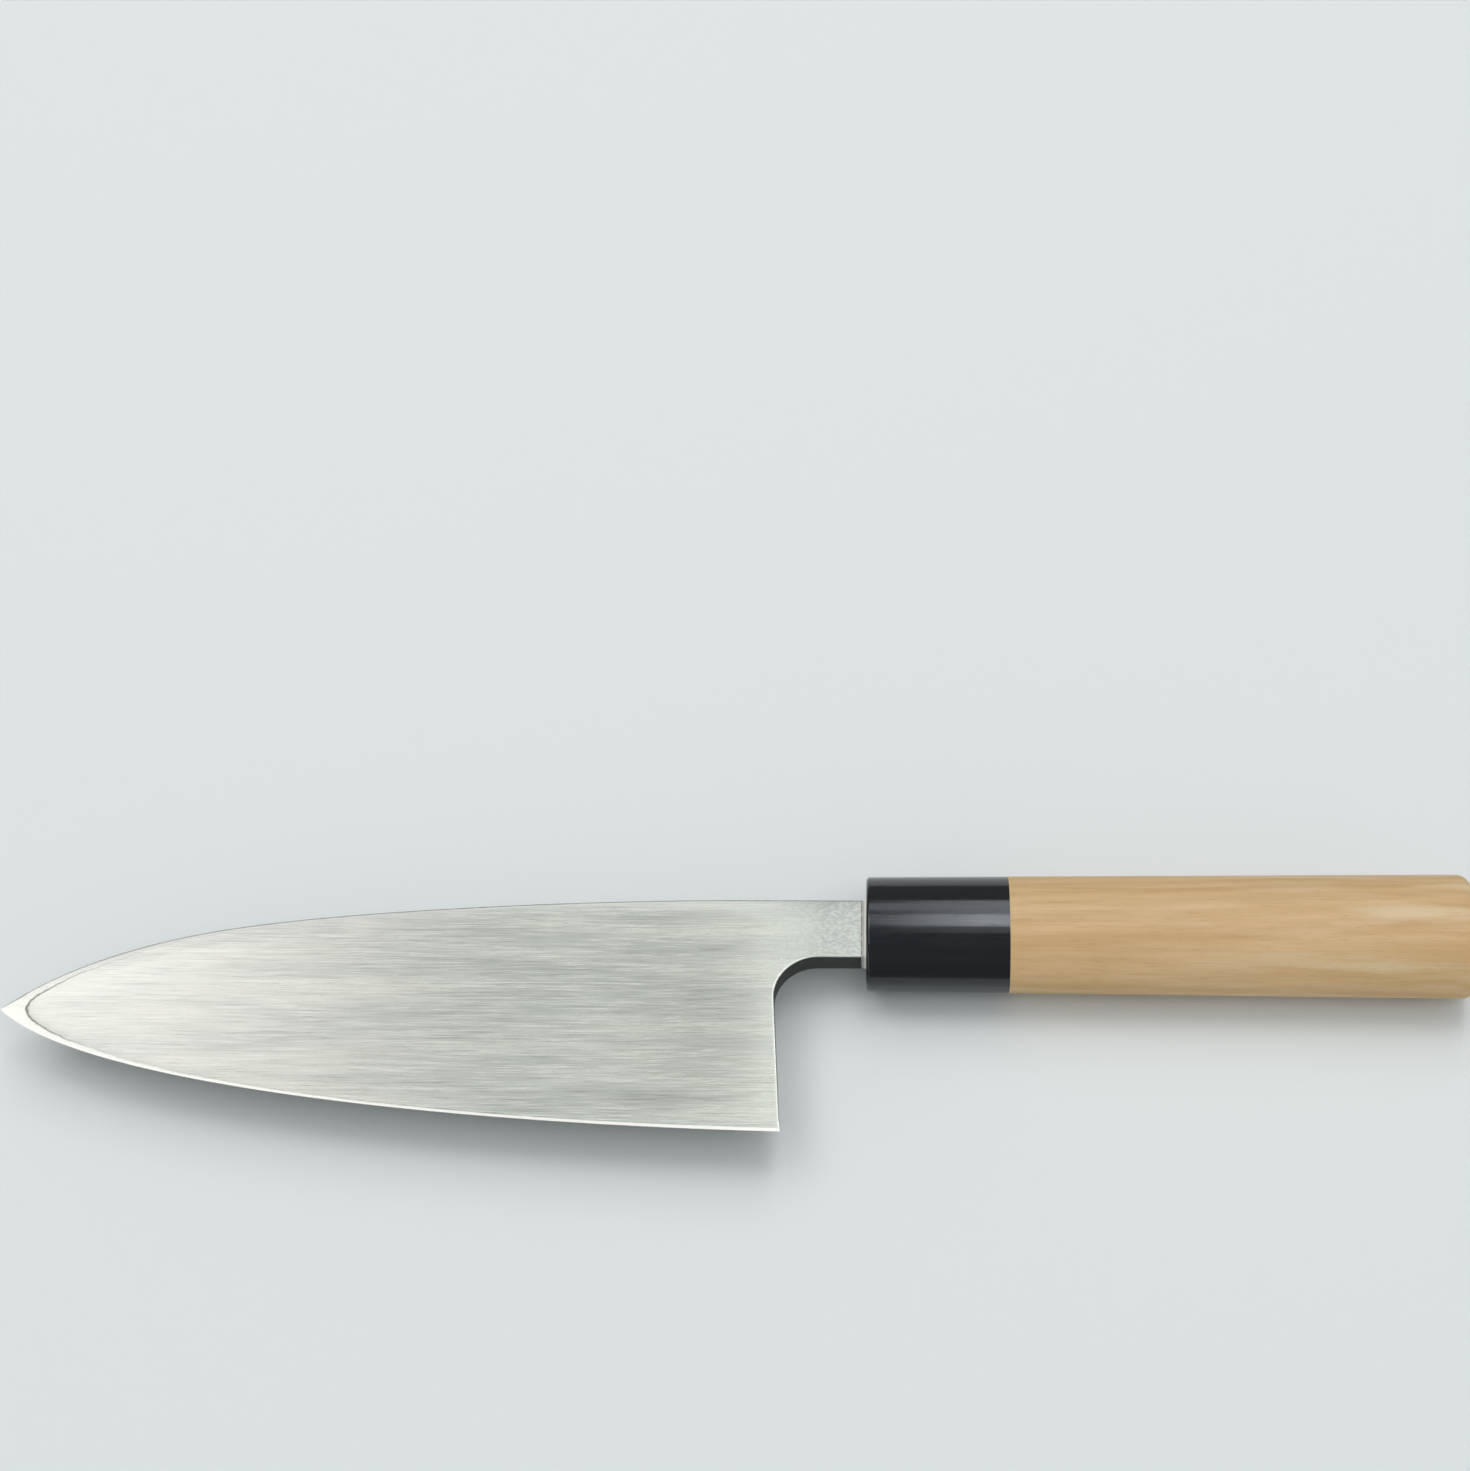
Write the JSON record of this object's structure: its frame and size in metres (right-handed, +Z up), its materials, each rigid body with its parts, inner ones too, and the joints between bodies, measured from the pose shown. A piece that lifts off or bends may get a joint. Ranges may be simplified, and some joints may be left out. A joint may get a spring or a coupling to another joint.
{
  "type": "deba knife",
  "caption": "Right-handed single-bevel deba, a heavy Japanese fish knife, with a hollow-ground back, an open choil, a black horn ferrule and a D-shaped wooden handle.",
  "frame": {"origin": "on the surface that the knife lies on, under the middle of its bounding box", "axes": "+X from the tip to the butt, +Y from the cutting edge to the spine, +Z up out of the flat back face; the bevel and the handle's ridge face down"},
  "size_m": [0.3373, 0.066, 0.0248],
  "materials": {
    "soft_iron": "forge-welded soft iron, ground and brushed along its length",
    "hard_steel": "carbon steel, hollow ground and satin brushed along its length",
    "magnolia_wood": "pale magnolia, sanded and bare",
    "buffalo_horn": "black buffalo horn, polished",
    "seal_resin": "pale resin, wiped smooth"
  },
  "bodies": {
    "root": {"blade_body": "soft_iron", "edge_steel": "hard_steel", "handle_body": "magnolia_wood", "ferrule": "buffalo_horn", "tang_seal": "seal_resin"}
  },
  "joints": []
}
